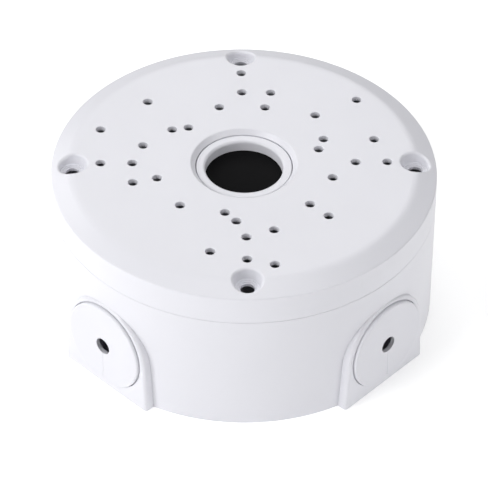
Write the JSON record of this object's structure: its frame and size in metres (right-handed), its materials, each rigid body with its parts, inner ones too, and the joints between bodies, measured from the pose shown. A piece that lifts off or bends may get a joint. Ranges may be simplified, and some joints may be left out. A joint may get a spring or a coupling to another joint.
{
  "type": "camera junction box",
  "caption": "Round white junction box for a security camera: drilled, bevelled lid with a central cable outlet, deep housing and arched side pads with soft cable plugs.",
  "frame": {"origin": "centre of the back face, which lies on the wall or table", "axes": "+Z out of the wall through the middle of the lid; the lid screws lie on X and Y, the side pads half way between; -Y is the side towards the viewer in the picture"},
  "size_m": [0.1478, 0.1478, 0.0647],
  "materials": {
    "housing_plastic": "satin, fine moulded grain",
    "lid_plastic": "satin, fine moulded grain",
    "ring_plastic": "satin",
    "plug_rubber": "soft white, satin",
    "membrane_rubber": "black, matt",
    "gasket_rubber": "black, matt",
    "brass": "knurled, bare"
  },
  "bodies": {
    "housing": {"base_housing": "housing_plastic", "lid_gasket": "gasket_rubber", "lid_insert_right": "brass", "lid_insert_back": "brass", "lid_insert_left": "brass", "lid_insert_front": "brass"},
    "lid": {"lid": "lid_plastic", "outlet_ring": "ring_plastic", "outlet_membrane": "membrane_rubber"},
    "plug_back_right": {"cable_plug_back_right": "plug_rubber"},
    "plug_back_left": {"cable_plug_back_left": "plug_rubber"},
    "plug_front_left": {"cable_plug_front_left": "plug_rubber"},
    "plug_front_right": {"cable_plug_front_right": "plug_rubber"}
  },
  "joints": [
    {"name": "lid_lift", "type": "slide", "parent": "housing", "child": "lid", "axis": [0, 0, 1], "range_m": [0, 0.08]},
    {"name": "plug_back_right_pull", "type": "slide", "parent": "housing", "child": "plug_back_right", "axis": [0.707, 0.707, 0.018], "range_m": [0, 0.025]},
    {"name": "plug_back_left_pull", "type": "slide", "parent": "housing", "child": "plug_back_left", "axis": [-0.707, 0.707, 0.018], "range_m": [0, 0.025]},
    {"name": "plug_front_left_pull", "type": "slide", "parent": "housing", "child": "plug_front_left", "axis": [-0.707, -0.707, 0.018], "range_m": [0, 0.025]},
    {"name": "plug_front_right_pull", "type": "slide", "parent": "housing", "child": "plug_front_right", "axis": [0.707, -0.707, 0.018], "range_m": [0, 0.025]}
  ]
}
